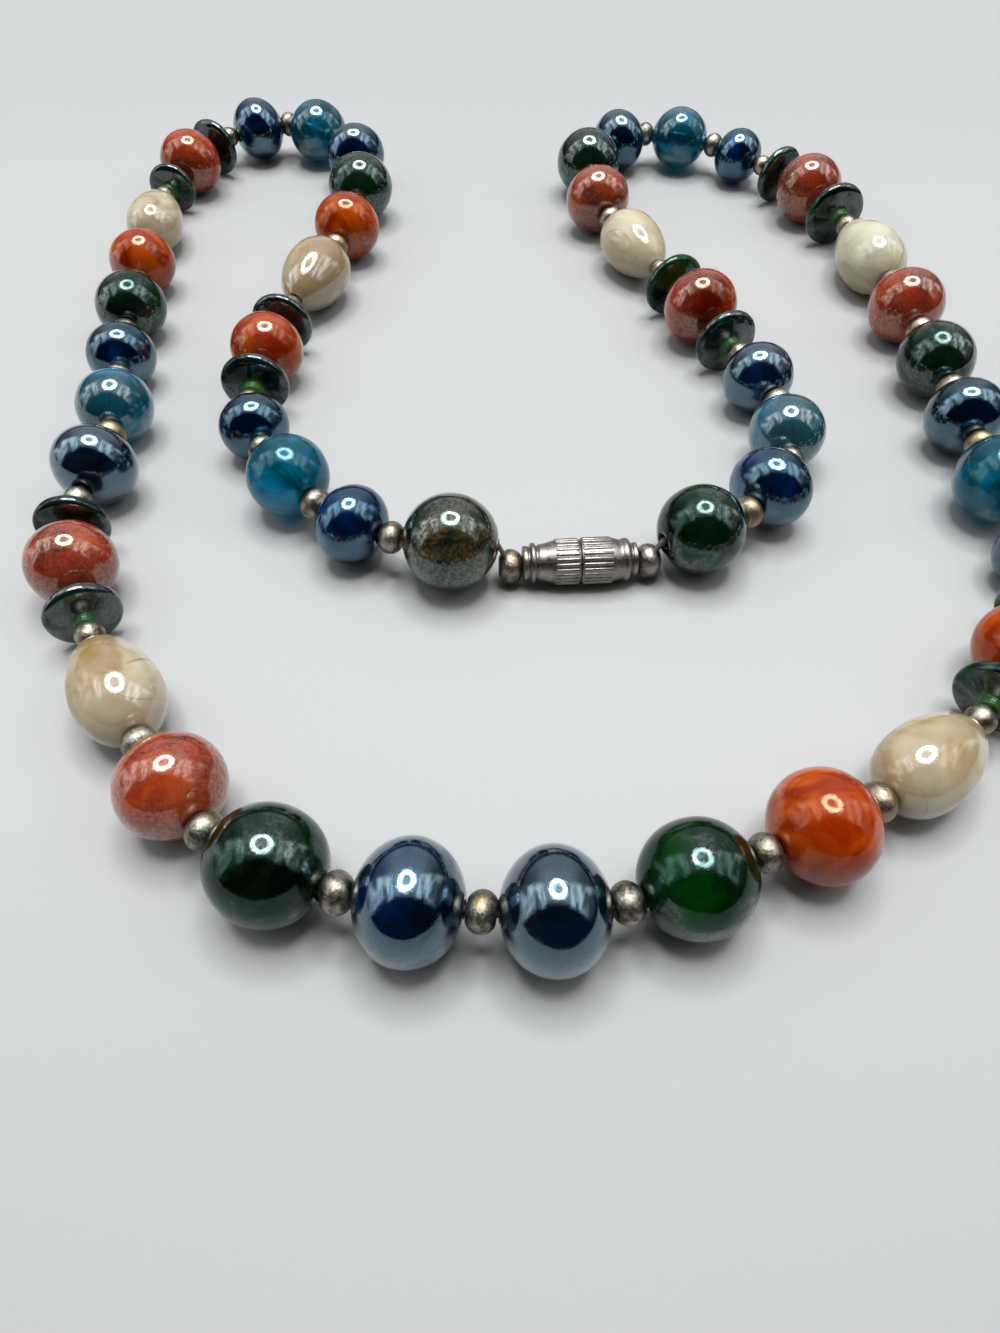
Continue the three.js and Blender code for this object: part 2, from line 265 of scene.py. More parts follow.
# a solid turned about the piece's own length from (across, along) points in mm
def turnedMesh(name, outline, item, sides, closed, unevenness=0.0, backwards=False):
    direction = -item["direction"] if backwards else item["direction"]
    sideways = direction.cross(up)
    farAlong = max(abs(along) for _, along in outline)
    farAcross = max(across for across, _ in outline)
    mesh = bmesh.new()
    local = mesh.verts.layers.float_vector.new("beadPlace")
    rings = []
    for across, along in outline:
        ring = []
        for side in range(sides if across > 1e-6 else 1):
            angle = 2 * math.pi * side / sides
            outward = sideways * math.cos(angle) + up * math.sin(angle)
            share = across / farAcross
            place = Vector((along / farAlong, share * math.cos(angle), share * math.sin(angle)))
            dent = unevenness * (0.5 + 0.5 * noise.noise(place * dentScale + item["seed"]))
            where = item["centre"] + direction * along * (1 - dent) + outward * across * (1 - dent)
            vert = mesh.verts.new(where * mm)
            vert[local] = place
            ring.append(vert)
        rings.append(ring)
    count = len(rings) if closed else len(rings) - 1
    for index in range(count):
        here, there = rings[index], rings[(index + 1) % len(rings)]
        for side in range(sides):
            after = (side + 1) % sides
            corners = [here[side % len(here)], here[after % len(here)],
                       there[after % len(there)], there[side % len(there)]]
            corners = [c for k, c in enumerate(corners) if c not in corners[:k]]
            mesh.faces.new(corners).smooth = True
    if mesh.calc_volume(signed=True) < 0:
        bmesh.ops.reverse_faces(mesh, faces=mesh.faces)
    data = bpy.data.meshes.new(name)
    mesh.to_mesh(data)
    mesh.free()
    return data


# the same number on every point, for the materials to read
def mark(mesh, **values):
    for name, value in values.items():
        layer = mesh.attributes.new(name, "FLOAT", "POINT")
        layer.data.foreach_set("value", [value] * len(mesh.vertices))


# an open outline with its corners cut
def rounded(points, times):
    for _ in range(times):
        cut = [points[0]]
        for (a, b), (c, d) in zip(points, points[1:]):
            cut += [(0.75 * a + 0.25 * c, 0.75 * b + 0.25 * d), (0.25 * a + 0.75 * c, 0.25 * b + 0.75 * d)]
        points = cut + [points[-1]]
    return points


# Helpers for node trees

# a node with its settings, and its inputs given by name as a value or another node's socket
def addNode(tree, kind, settings=None, **inputs):
    made = tree.nodes.new(kind)
    for name, value in (settings or {}).items():
        setattr(made, name, value)
    for name, value in inputs.items():
        key = int(name[1:]) if name[0] == "_" else name.replace("_", " ")
        setInput(tree, made, key, value)
    return made


def setInput(tree, made, key, value):
    socket = made.inputs[key]
    if isinstance(value, bpy.types.NodeSocket):
        tree.links.new(value, socket)
    else:
        socket.default_value = value


# one number worked out from one or two others
def calc(tree, operation, a, b=None, clamp=False):
    made = addNode(tree, "ShaderNodeMath", {"operation": operation, "use_clamp": clamp}, _0=a)
    if b is not None:
        setInput(tree, made, 1, b)
    return made.outputs[0]


def ramp(tree, value, low, high, toLow=0.0, toHigh=1.0, smooth=True):
    kind = "SMOOTHSTEP" if smooth else "LINEAR"
    made = addNode(tree, "ShaderNodeMapRange", {"interpolation_type": kind, "clamp": True}, Value=value)
    for key, number in (("From Min", low), ("From Max", high), ("To Min", toLow), ("To Max", toHigh)):
        setInput(tree, made, key, number)
    return made.outputs["Result"]


# a cloudy pattern, 0 to 1
def clouded(tree, where, scale, detail=2.0, roughness=0.5, distortion=0.0):
    return addNode(tree, "ShaderNodeTexNoise", Vector=where, Scale=scale, Detail=detail, Roughness=roughness,
                   Distortion=distortion).outputs["Fac"]


def blendColours(tree, share, a, b):
    made = addNode(tree, "ShaderNodeMix", {"data_type": "RGBA"})
    for key, value in ((0, share), (6, a), (7, b)):
        setInput(tree, made, key, value)
    return made.outputs[2]


def newGroup(name, takes, gives):
    tree = bpy.data.node_groups.new(name, "ShaderNodeTree")
    for label, kind, value in takes:
        socket = tree.interface.new_socket(label, in_out="INPUT", socket_type=kind)
        if value is not None:
            socket.default_value = value
    for label, kind in gives:
        tree.interface.new_socket(label, in_out="OUTPUT", socket_type=kind)
    return tree, tree.nodes.new("NodeGroupInput").outputs, tree.nodes.new("NodeGroupOutput")


def useGroup(tree, group, **inputs):
    made = tree.nodes.new("ShaderNodeGroup")
    made.node_tree = group
    for name, value in inputs.items():
        setInput(tree, made, name.replace("_", " "), value)
    return made.outputs


# Glass

# patches of kiln lustre, and the fine pits and specks in them
def lustreGroup():
    tree, given, result = newGroup(
        "kilnLustre",
        [("Vector", "NodeSocketVector", None), ("Amount", "NodeSocketFloat", 0.5),
         ("Patch Scale", "NodeSocketFloat", 200.0), ("Speck Scale", "NodeSocketFloat", 2600.0)],
        [("Film", "NodeSocketFloat"), ("Specks", "NodeSocketFloat")],
    )
    patches = clouded(tree, given["Vector"], given["Patch Scale"], 4.0, 0.6, 0.6)
    specks = clouded(tree, given["Vector"], given["Speck Scale"], 3.0, 0.7)
    edge = ramp(tree, given["Amount"], 0.0, 1.0, 0.72, 0.28, smooth=False)
    film = ramp(tree, patches, calc(tree, "SUBTRACT", edge, 0.10), calc(tree, "ADD", edge, 0.10))
    worn = ramp(tree, specks, 0.40, 0.62)
    setInput(tree, result, "Film", film)
    setInput(tree, result, "Specks", worn)
    return tree


kilnLustre = lustreGroup()

# how every piece of glass is finished: the lustre's burnt patches, the ripples and pits, lengths in metres
surface = {
    "roughness": 0.045, "coatRoughness": 0.03, "burntScale": 130.0, "burntFrom": 0.68, "burntTo": 0.80,
    "rippleScale": 260.0, "pits": 0.03, "strength": 0.35, "depth": 0.0003, "glow": 0.25, "glowDepth": 0.0012,
}

# deep, body and bright are the glass, sheen tints what it mirrors, film and bronze are the lustre's own
glassLooks = {
    "green": {
        "deep": (0.00034, 0.0022, 0.00084, 1), "body": (0.00056, 0.012, 0.0011, 1),
        "bright": (0.00056, 0.048, 0.0011, 1),
        "sheen": (0.50, 1.0, 0.88, 1), "film": (0.014, 0.024, 0.022, 1), "bronze": (0.15, 0.095, 0.048, 1),
        "ior": 1.5, "level": 0.42, "transmission": 0.5, "coatIor": 1.8, "filmMin": 0.0, "filmShow": 0.7,
        "speckle": 0.75, "swirl": 90.0,
    },
    "blue": {
        "deep": (0.0001, 0.0018, 0.0075, 1), "body": (0.0002, 0.005, 0.024, 1),
        "bright": (0.0004, 0.022, 0.125, 1),
        "sheen": (0.42, 0.78, 1.0, 1), "film": (0.0034, 0.008, 0.011, 1), "bronze": (0.017, 0.02, 0.022, 1),
        "ior": 2.1, "level": 0.58, "transmission": 0.3, "coatIor": 1.6, "filmMin": 0.0, "filmShow": 0.3,
        "speckle": 0.3, "swirl": 110.0,
    },
    "teal": {
        "deep": (0.0003, 0.03, 0.055, 1), "body": (0.0006, 0.09, 0.135, 1),
        "bright": (0.002, 0.24, 0.44, 1),
        "sheen": (0.55, 0.92, 1.0, 1), "film": (0.039, 0.084, 0.084, 1), "bronze": (0.09, 0.11, 0.095, 1),
        "ior": 1.5, "level": 0.75, "transmission": 0.6, "coatIor": 1.9, "filmMin": 0.0, "filmShow": 0.3,
        "speckle": 0.4, "swirl": 100.0,
    },
    "orange": {
        "deep": (0.054, 0.0023, 0.0002, 1), "body": (0.20, 0.014, 0.0006, 1),
        "bright": (0.35, 0.053, 0.0022, 1),
        "sheen": (1.0, 0.60, 0.38, 1), "film": (0.29, 0.075, 0.038, 1), "bronze": (0.31, 0.115, 0.07, 1),
        "ior": 1.5, "level": 0.8, "transmission": 0.0, "coatIor": 1.8, "filmMin": 0.0, "filmShow": 0.36,
        "speckle": 0.7, "swirl": 120.0, "glow": (1.0, 0.25, 0.1),
    },
    "cream": {
        "deep": (0.22, 0.14, 0.05, 1), "body": (0.36, 0.30, 0.18, 1),
        "bright": (0.48, 0.445, 0.335, 1),
        "sheen": (1.0, 0.97, 0.9, 1), "film": (0.3, 0.27, 0.21, 1), "bronze": (0.22, 0.12, 0.045, 1),
        "ior": 1.5, "level": 0.5, "transmission": 0.0, "coatIor": 1.8, "filmMin": 0.1, "filmShow": 0.3,
        "speckle": 0.15, "swirl": 70.0, "lineScale": 75.0, "glow": (1.0, 0.8, 0.5),
    },
    "disc": {
        "deep": (0.00034, 0.0022, 0.0014, 1), "body": (0.00056, 0.0056, 0.0017, 1),
        "bright": (0.006, 0.055, 0.006, 1),
        "sheen": (0.55, 0.85, 1.0, 1), "film": (0.008, 0.02, 0.019, 1), "bronze": (0.022, 0.028, 0.022, 1),
        "ior": 1.5, "level": 0.3, "transmission": 0.0, "coatIor": 1.85, "filmMin": 0.0, "filmShow": 0.5,
        "speckle": 0.4, "swirl": 120.0, "patches": 240.0, "hub": (0.03, 0.095, 0.012, 1),
    },
}


def glassMaterial(kind, look):
    material = bpy.data.materials.new(kind + "Glass")
    material.use_nodes = True
    tree = material.node_tree
    shader = tree.nodes["Principled BSDF"]
    where = addNode(tree, "ShaderNodeTexCoord").outputs["Object"]
    lustre = addNode(tree, "ShaderNodeAttribute", {"attribute_name": "lustre"}).outputs["Fac"]
    tone = addNode(tree, "ShaderNodeAttribute", {"attribute_name": "tone"}).outputs["Fac"]
    film = useGroup(tree, kilnLustre, Vector=where, Amount=lustre, Patch_Scale=look.get("patches", 200.0))

    swirls = clouded(tree, where, look["swirl"], 3.0, 0.55, 1.4)
    light = calc(tree, "ADD", calc(tree, "SUBTRACT", tone, 0.5), ramp(tree, swirls, 0.3, 0.7))
    colour = blendColours(tree, ramp(tree, light, -0.1, 0.5), look["deep"], look["body"])
    colour = blendColours(tree, ramp(tree, light, 0.5, 1.25), colour, look["bright"])
    if kind == "cream":
        along = addNode(tree, "ShaderNodeAttribute", {"attribute_name": "beadPlace"}).outputs["Vector"]
        apart = addNode(tree, "ShaderNodeSeparateXYZ", Vector=along).outputs
        bent = calc(tree, "ADD", apart["Y"], calc(tree, "MULTIPLY", calc(tree, "SUBTRACT", swirls, 0.5), 0.8))
        band = calc(tree, "SUBTRACT", 1.0, ramp(tree, calc(tree, "ABSOLUTE", bent), 0.05, 0.45))
        band = calc(tree, "MULTIPLY", band, calc(tree, "SUBTRACT", 0.9, tone, clamp=True))
        colour = blendColours(tree, band, colour, look["deep"])
        folds = clouded(tree, where, look["lineScale"], 1.0, distortion=0.7)
        line = calc(tree, "ABSOLUTE", calc(tree, "SUBTRACT", folds, 0.52))
        line = calc(tree, "MULTIPLY", ramp(tree, line, 0.0, 0.012, 1.0, 0.0),
                    ramp(tree, swirls, 0.45, 0.6, 0.1, 0.75))
        colour = blendColours(tree, line, colour, look["bronze"])
    if kind == "disc":
        local = addNode(tree, "ShaderNodeAttribute", {"attribute_name": "beadPlace"}).outputs["Vector"]
        apart = addNode(tree, "ShaderNodeSeparateXYZ", Vector=local).outputs
        squares = [calc(tree, "MULTIPLY", apart[axis], apart[axis]) for axis in ("Y", "Z")]
        across = calc(tree, "SQRT", calc(tree, "ADD", *squares))
        hub = ramp(tree, across, 0.27, 0.45, 1.0, 0.0)
        colour = blendColours(tree, calc(tree, "MULTIPLY", hub, 0.85), colour, look["hub"])
    shown = calc(tree, "MULTIPLY", film["Film"], look["filmShow"])
    speckled = ramp(tree, film["Specks"], 0.0, 1.0, 1.0 - look["speckle"], 1.0, smooth=False)
    burnt = clouded(tree, where, surface["burntScale"], distortion=0.8)
    burnt = calc(tree, "MULTIPLY", ramp(tree, burnt, 0.44, 0.54),
                 ramp(tree, lustre, surface["burntFrom"], surface["burntTo"]))
    filmColour = blendColours(tree, burnt, look["film"], look["bronze"])
    colour = blendColours(tree, calc(tree, "MULTIPLY", shown, speckled), colour, filmColour)
    setInput(tree, shader, "Base Color", colour)

    weight = calc(tree, "MULTIPLY", film["Film"], speckled)
    weight = ramp(tree, weight, 0.0, 1.0, look["filmMin"], 1.0, smooth=False)
    if kind == "disc":
        weight = calc(tree, "MULTIPLY", weight, calc(tree, "SUBTRACT", 1.0, hub))
    setInput(tree, shader, "Coat Weight", weight)
    shader.inputs["Coat IOR"].default_value = look["coatIor"]
    shader.inputs["Coat Roughness"].default_value = surface["coatRoughness"]
    shader.inputs["Roughness"].default_value = surface["roughness"]
    shader.inputs["IOR"].default_value = look["ior"]
    shader.inputs["Specular IOR Level"].default_value = look["level"]
    shader.inputs["Specular Tint"].default_value = look["sheen"]
    shader.inputs["Transmission Weight"].default_value = look["transmission"]
    if "glow" in look:
        shader.inputs["Subsurface Weight"].default_value = surface["glow"]
        shader.inputs["Subsurface Radius"].default_value = look["glow"]
        shader.inputs["Subsurface Scale"].default_value = surface["glowDepth"]
    ripple = clouded(tree, where, surface["rippleScale"], 1.5)
    uneven = calc(tree, "ADD", ripple, calc(tree, "MULTIPLY", film["Specks"], surface["pits"]))
    bump = addNode(tree, "ShaderNodeBump", Height=uneven, Strength=surface["strength"],
                   Distance=surface["depth"])
    setInput(tree, shader, "Normal", bump.outputs[0])
    return material


glassMaterials = {kind: glassMaterial(kind, look) for kind, look in glassLooks.items()}
print("glass mixed:", ", ".join(glassMaterials))


# Metal: fine scratches, clouds of tarnish and broad worn places

tarnish = {"clouds": 700.0, "fine": 3800.0, "broad": 160.0, "wornShare": 0.75, "depth": 0.00006}


def metalMaterial(name, bright, dark, wear, roughness, scratch):
    material = bpy.data.materials.new(name)
    material.use_nodes = True
    tree = material.node_tree
    shader = tree.nodes["Principled BSDF"]
    where = addNode(tree, "ShaderNodeTexCoord").outputs["Object"]
    clouds = clouded(tree, where, tarnish["clouds"], 4.0, 0.65)
    fine = clouded(tree, where, tarnish["fine"], 3.0, 0.7)
    broad = clouded(tree, where, tarnish["broad"])
    colour = blendColours(tree, ramp(tree, clouds, 0.35, 0.62), dark, bright)
    worn = calc(tree, "MULTIPLY", ramp(tree, broad, 0.50, 0.66), tarnish["wornShare"])
    colour = blendColours(tree, worn, colour, wear)
    setInput(tree, shader, "Base Color", colour)
    setInput(tree, shader, "Roughness", ramp(tree, fine, 0.3, 0.7, roughness - 0.08, roughness + 0.14))
    shader.inputs["Metallic"].default_value = 1.0
    height = calc(tree, "ADD", calc(tree, "MULTIPLY", clouds, 0.6), fine)
    bump = addNode(tree, "ShaderNodeBump", Height=height, Strength=scratch, Distance=tarnish["depth"])
    setInput(tree, shader, "Normal", bump.outputs[0])
    return material


metals = {
    "antiqueSilver": {"bright": (0.37, 0.345, 0.29, 1), "dark": (0.085, 0.075, 0.055, 1),
                      "wear": (0.30, 0.23, 0.115, 1), "roughness": 0.34, "scratch": 0.9},
    "claspPewter": {"bright": (0.29, 0.27, 0.255, 1), "dark": (0.19, 0.175, 0.16, 1),
                    "wear": (0.25, 0.235, 0.21, 1), "roughness": 0.32, "scratch": 0.2},
}
silver, pewter = (metalMaterial(name, **metal) for name, metal in metals.items())


# Beads and discs

bead = {"bore": 1.0, "innerBore": 0.8, "lip": 0.35, "bands": 26, "sides": 48, "unevenness": 0.022}


def beadOutline(item):
    radius, half = item["diameter"] / 2, item["length"] / 2
    rimAngle = math.asin(bead["bore"] / radius)
    angles = [rimAngle + (math.pi - 2 * rimAngle) * band / bead["bands"] for band in range(bead["bands"] + 1)]
    widths = [math.sin(angle) * (1 - item["lean"] * math.cos(angle)) for angle in angles]
    widest = max(widths)
    outline = []
    for angle, width in zip(angles, widths):
        outline.append([radius * width / widest, -half * math.cos(angle) / math.cos(rimAngle)])
    outline[0][0] = outline[-1][0] = bead["bore"]
    deep = half - bead["lip"]
    return outline + [(bead["innerBore"], deep), (bead["innerBore"], 0.0), (bead["innerBore"], -deep)]


# half of the disc's outline as shares of its half sizes: from the hole over the hub to the rim
discHalf = [(0.15, 0.90), (0.19, 1.0), (0.26, 0.99), (0.30, 0.88), (0.27, 0.80), (0.30, 0.70), (0.285, 0.60),
            (0.34, 0.52), (0.58, 0.43), (0.80, 0.36), (0.93, 0.28), (0.99, 0.15), (1.0, 0.0)]


def discOutline(item):
    radius, half = item["diameter"] / 2, item["length"] / 2
    smooth = rounded(discHalf, 2)
    one = [(across * radius, along * half) for across, along in smooth]
    return one + [(across, -along) for across, along in reversed(one[:-1])]


slots = {kind: "glass_" + kind for kind in glasses}
slots["disc"] = "glass_green"
stringNodes = {"left": [], "right": []}
for item in items:
    if item["kind"] not in glasses:
        continue
    outline = discOutline(item) if item["kind"] == "disc" else beadOutline(item)
    name = "%sGlass_%s_%02d" % (item["kind"], item["side"], item["number"])
    mesh = turnedMesh(name, outline, item, bead["sides"], True, bead["unevenness"])
    mark(mesh, lustre=item["lustre"], tone=item["tone"])
    mesh.materials.append(glassMaterials[item["kind"]])
    piece = newObject(name, mesh)
    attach(piece, "root")
    if item["kind"] == "disc":
        stringNodes[item["side"]].append(piece)
    else:
        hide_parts(nodeOf(item))
print("beads and discs blown:", sum(item["kind"] in glasses for item in items))


# Spacers, strewn along the string by geometry nodes

spacer = {
    "halfWidth": 2.05, "halfLength": 1.38, "round": 0.82, "besideDisc": 0.84, "sizePlay": 0.04, "seed": 4,
}


# the evaluated modifiers as a mesh of its own
def plainMesh(holder, name):
    graph = bpy.context.evaluated_depsgraph_get()
    mesh = bpy.data.meshes.new_from_object(holder.evaluated_get(graph))
    mesh.name = name
    holder.modifiers.clear()
    bpy.data.objects.remove(holder)
    return mesh


def geometryTree(name, takes):
    tree = bpy.data.node_groups.new(name, "GeometryNodeTree")
    tree.is_modifier = True
    tree.interface.new_socket("Geometry", in_out="INPUT", socket_type="NodeSocketGeometry")
    tree.interface.new_socket("Geometry", in_out="OUTPUT", socket_type="NodeSocketGeometry")
    for label, kind in takes:
        tree.interface.new_socket(label, in_out="INPUT", socket_type=kind)
    return tree, tree.nodes.new("NodeGroupInput").outputs, tree.nodes.new("NodeGroupOutput")


def useTree(holder, tree, values):
    modifier = holder.modifiers.new(tree.name, "NODES")
    modifier.node_group = tree
    for socket in tree.interface.items_tree:
        if socket.item_type == "SOCKET" and socket.in_out == "INPUT" and socket.name in values:
            modifier[socket.identifier] = values[socket.name]
    return modifier


def spacerTree():
    tree, given, result = geometryTree("strungSpacers", [
        ("Half Width", "NodeSocketFloat"), ("Half Length", "NodeSocketFloat"), ("Round", "NodeSocketFloat"),
        ("Size Play", "NodeSocketFloat"), ("Seed", "NodeSocketInt"), ("Metal", "NodeSocketMaterial")])
    ball = addNode(tree, "GeometryNodeMeshUVSphere", Segments=32, Rings=22, Radius=given["Half Width"])
    spot = addNode(tree, "GeometryNodeInputPosition").outputs[0]
    apart = addNode(tree, "ShaderNodeSeparateXYZ", Vector=spot).outputs
    low = calc(tree, "MULTIPLY", given["Half Length"], -1.0)
    along = calc(tree, "MULTIPLY", apart["Z"], given["Round"])
    flat = calc(tree, "MAXIMUM", calc(tree, "MINIMUM", along, given["Half Length"]), low)
    ends = addNode(tree, "ShaderNodeCombineXYZ", X=apart["X"], Y=apart["Y"], Z=flat)
    barrel = addNode(tree, "GeometryNodeSetPosition", Geometry=ball.outputs["Mesh"], Position=ends.outputs[0])
    smooth = addNode(tree, "GeometryNodeSetShadeSmooth", Geometry=barrel.outputs[0])
    facing = addNode(tree, "GeometryNodeInputNamedAttribute", {"data_type": "FLOAT_VECTOR"}, Name="facing")
    turn = addNode(tree, "FunctionNodeAlignRotationToVector", {"axis": "Z"}, Vector=facing.outputs[0])
    play = addNode(tree, "FunctionNodeRandomValue", {"data_type": "FLOAT"}, Seed=given["Seed"])
    setInput(tree, play, 2, calc(tree, "SUBTRACT", 1.0, given["Size Play"]))
    setInput(tree, play, 3, calc(tree, "ADD", 1.0, given["Size Play"]))
    share = addNode(tree, "GeometryNodeInputNamedAttribute", {"data_type": "FLOAT"}, Name="share")
    wide = calc(tree, "MULTIPLY", play.outputs[1], share.outputs[0])
    size = addNode(tree, "ShaderNodeCombineXYZ", X=wide, Y=wide, Z=play.outputs[1])
    strung = addNode(tree, "GeometryNodeInstanceOnPoints", Points=given["Geometry"],
                     Instance=smooth.outputs[0], Rotation=turn.outputs[0], Scale=size.outputs[0])
    real = addNode(tree, "GeometryNodeRealizeInstances", Geometry=strung.outputs[0])
    coated = addNode(tree, "GeometryNodeSetMaterial", Geometry=real.outputs[0], Material=given["Metal"])
    setInput(tree, result, 0, coated.outputs[0])
    return tree


spacers = spacerTree()
for side in ("left", "right"):
    strung = [item for item in items if item["kind"] == "spacer" and item["side"] == side]
    points = bpy.data.meshes.new("spacerPoints_" + side)
    points.from_pydata([item["centre"] * mm for item in strung], [], [])
    facing = points.attributes.new("facing", "FLOAT_VECTOR", "POINT")
    facing.data.foreach_set("vector", [value for item in strung for value in item["direction"]])
    share = points.attributes.new("share", "FLOAT", "POINT")
    share.data.foreach_set("value", [spacer["besideDisc"] if item["besideDisc"] else 1.0 for item in strung])
    holder = newObject("spacerPoints_" + side, points)
    useTree(holder, spacers, {
        "Half Width": spacer["halfWidth"] * mm, "Half Length": spacer["halfLength"] * mm,
        "Round": spacer["round"], "Size Play": spacer["sizePlay"], "Seed": spacer["seed"], "Metal": silver})
    mesh = plainMesh(holder, "metalSpacers_" + side)
    piece = newObject("metalSpacers_" + side, mesh)
    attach(piece, "root")
    stringNodes[side].append(piece)
    print("spacers strung on the", side, "half:", len(strung))


# Thread

# how far it goes into the clasp, and where its right half starts and its left half ends in the front
# bead, in mm, then its sides and its looks
thread = {
    "intoClasp": 2.3, "rightStart": 0.6, "leftEnd": 0.3, "sides": 10,
    "roughness": 0.7, "weaveScale": 2500.0, "dark": (0.03, 0.026, 0.022, 1), "light": (0.08, 0.07, 0.06, 1),
}

threadMaterial = bpy.data.materials.new("beadingThread")
threadMaterial.use_nodes = True
threadTree = threadMaterial.node_tree
threadShader = threadTree.nodes["Principled BSDF"]
threadPlace = addNode(threadTree, "ShaderNodeTexCoord").outputs["Object"]
weave = clouded(threadTree, threadPlace, thread["weaveScale"])
threadColour = blendColours(threadTree, weave, thread["dark"], thread["light"])
setInput(threadTree, threadShader, "Base Color", threadColour)
threadShader.inputs["Roughness"].default_value = thread["roughness"]


# a thin round cord through every bore of one half
def threadMesh(side):
    half = [item for item in items if item["side"] == side]
    clasp = items[0]
    inside = clasp["direction"] * (clasp["length"] / 2 - thread["intoClasp"])
    frontRight = next(item for item in items if item["side"] == "right")
    entry = frontRight["centre"] - frontRight["direction"] * (frontRight["length"] / 2)
    inFront = entry + frontRight["direction"] * thread["rightStart"]
    path = [clasp["centre"] + inside if side == "left" else inFront]
    for item in half:
        reach = item["direction"] * (item["length"] / 2)
        if item["kind"] == "spacer":
            path.append(item["centre"])
        else:
            path += [item["centre"] - reach, item["centre"] + reach][item is frontRight:]
    atFront = entry + frontRight["direction"] * thread["leftEnd"]
    path.append(atFront if side == "left" else clasp["centre"] - inside)
    mesh = bmesh.new()
    rings = []
    for index, spot in enumerate(path):
        ahead = (path[min(index + 1, len(path) - 1)] - path[max(index - 1, 0)]).normalized()
        sideways = ahead.cross(up).normalized()
        above = sideways.cross(ahead)
        ring = []
        for k in range(thread["sides"]):
            angle = 2 * math.pi * k / thread["sides"]
            outward = sideways * math.cos(angle) + above * math.sin(angle)
            ring.append(mesh.verts.new((spot + outward * string["threadDiameter"] / 2) * mm))
        rings.append(ring)
    for here, there in zip(rings, rings[1:]):
        for k in range(thread["sides"]):
            after = (k + 1) % thread["sides"]
            mesh.faces.new([here[k], here[after], there[after], there[k]]).smooth = True
    mesh.faces.new(rings[0][::-1])
    mesh.faces.new(rings[-1])
    if mesh.calc_volume(signed=True) < 0:
        bmesh.ops.reverse_faces(mesh, faces=mesh.faces)
    data = bpy.data.meshes.new("thread_" + side)
    mesh.to_mesh(data)
    mesh.free()
    return data


for side in ("left", "right"):
    mesh = threadMesh(side)
    mesh.materials.append(threadMaterial)
    piece = newObject("thread_" + side, mesh)
    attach(piece, "root")
    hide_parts("string_" + side)
    for strung in stringNodes[side]:
        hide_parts("string_" + side)
print("thread drawn through")


# Clasp: each half from the seam outwards, in mm as (across, along)

claspHalves = {
    "left": {
        "outline": [(0, 0.05), (2.55, 0.05), (2.66, 0.16), (2.68, 2.7), (2.60, 3.0), (2.46, 3.5),
                    (2.30, 4.1), (2.20, 4.75), (2.06, 4.86), (2.06, 4.98), (2.36, 5.10), (2.45, 5.35),
                    (2.36, 5.62), (2.0, 5.76), (1.95, 5.86), (2.08, 5.95), (2.10, 6.4), (1.95, 6.5),
                    (0.55, 6.5), (0.5, 6.3), (0, 6.3)],
        "ribFrom": 0.15, "ribTo": 2.9, "ribRadius": 2.60,
    },
    "right": {
        "outline": [(0, 0.05), (2.62, 0.05), (2.71, 0.16), (2.72, 3.4), (2.66, 3.75), (2.52, 4.2),
                    (2.40, 4.55), (2.46, 4.75), (2.58, 5.0), (2.60, 5.25), (2.46, 5.55), (2.10, 5.72),
                    (1.85, 5.80), (1.85, 5.9), (2.0, 5.98), (2.02, 6.4), (1.9, 6.5), (0.55, 6.5), (0.5, 6.3),
                    (0, 6.3)],
        "ribFrom": 0.15, "ribTo": 3.6, "ribRadius": 2.65,
    },
}
shellSides = 64
drawnHalf = 6.5  # the length that the outlines are drawn to
ribs = {"count": 25, "halfWidth": 0.25, "flatten": 0.75}


def ribTree():
    tree, given, result = geometryTree("claspRibs", [
        ("Count", "NodeSocketInt"), ("Radius", "NodeSocketFloat"), ("Half Width", "NodeSocketFloat"),
        ("Half Length", "NodeSocketFloat"), ("Flatten", "NodeSocketFloat"), ("Metal", "NodeSocketMaterial")])
    ball = addNode(tree, "GeometryNodeMeshUVSphere", Segments=12, Rings=8, Radius=given["Half Width"])
    spot = addNode(tree, "GeometryNodeInputPosition").outputs[0]
    apart = addNode(tree, "ShaderNodeSeparateXYZ", Vector=spot).outputs
    stretch = calc(tree, "SUBTRACT", given["Half Length"], given["Half Width"])
    push = calc(tree, "MULTIPLY", calc(tree, "SIGN", apart["Z"]), stretch)
    thin = calc(tree, "MULTIPLY", apart["X"], given["Flatten"])
    long = addNode(tree, "ShaderNodeCombineXYZ", X=thin, Y=apart["Y"], Z=calc(tree, "ADD", apart["Z"], push))
    bar = addNode(tree, "GeometryNodeSetPosition", Geometry=ball.outputs["Mesh"], Position=long.outputs[0])
    smooth = addNode(tree, "GeometryNodeSetShadeSmooth", Geometry=bar.outputs[0])
    ring = addNode(tree, "GeometryNodeMeshCircle", Vertices=given["Count"], Radius=given["Radius"])
    outward = addNode(tree, "FunctionNodeAlignRotationToVector", {"axis": "X"}, Vector=spot)
    placed = addNode(tree, "GeometryNodeInstanceOnPoints", Points=ring.outputs[0], Instance=smooth.outputs[0],
                     Rotation=outward.outputs[0])
    real = addNode(tree, "GeometryNodeRealizeInstances", Geometry=placed.outputs[0])
    coated = addNode(tree, "GeometryNodeSetMaterial", Geometry=real.outputs[0], Material=given["Metal"])
    setInput(tree, result, 0, coated.outputs[0])
    return tree


